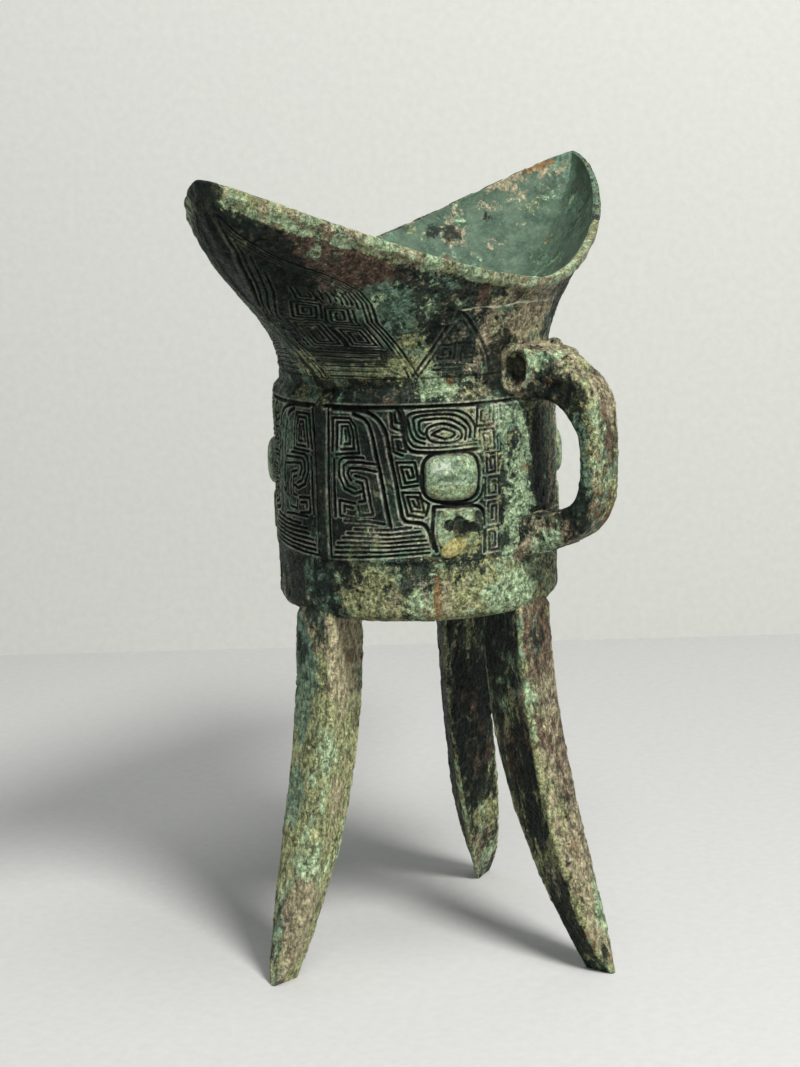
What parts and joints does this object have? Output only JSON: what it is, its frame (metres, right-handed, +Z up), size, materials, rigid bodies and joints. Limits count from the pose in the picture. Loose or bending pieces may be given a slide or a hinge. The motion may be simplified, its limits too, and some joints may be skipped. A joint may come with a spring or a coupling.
{
  "type": "bronze jiao wine vessel",
  "caption": "Round bronze wine cup on three splayed blade legs, with a pointed wing at each end of its mouth and a strap handle under a small ox head.",
  "frame": {"origin": "on the standing plane, under the middle of the whole object's box", "axes": "+X along the two wings, +Y away from the handle, +Z up"},
  "size_m": [0.168, 0.0986, 0.205],
  "materials": {
    "cup_bronze": "cast bronze under a dark green and black patina with pale green spots",
    "leg_bronze": "cast bronze, brown and green patina, rough towards the feet",
    "handle_bronze": "cast bronze, dark green and brown patina",
    "spacer_bronze": "cast bronze, slightly lighter patina than the wall round it",
    "core_clay": "baked core clay, brown and crumbly"
  },
  "bodies": {
    "root": {"cup": "cup_bronze", "leg_handle_side": "leg_bronze", "leg_left": "leg_bronze", "leg_right": "leg_bronze", "leg_core_handle_side": "core_clay", "leg_core_left": "core_clay", "leg_core_right": "core_clay", "handle": "handle_bronze", "handle_core_upper": "core_clay", "handle_core_lower": "core_clay", "base_spacer_1": "spacer_bronze", "base_spacer_2": "spacer_bronze", "base_spacer_3": "spacer_bronze", "wall_spacer_1": "spacer_bronze", "wall_spacer_2": "spacer_bronze", "wall_spacer_3": "spacer_bronze"}
  },
  "joints": []
}
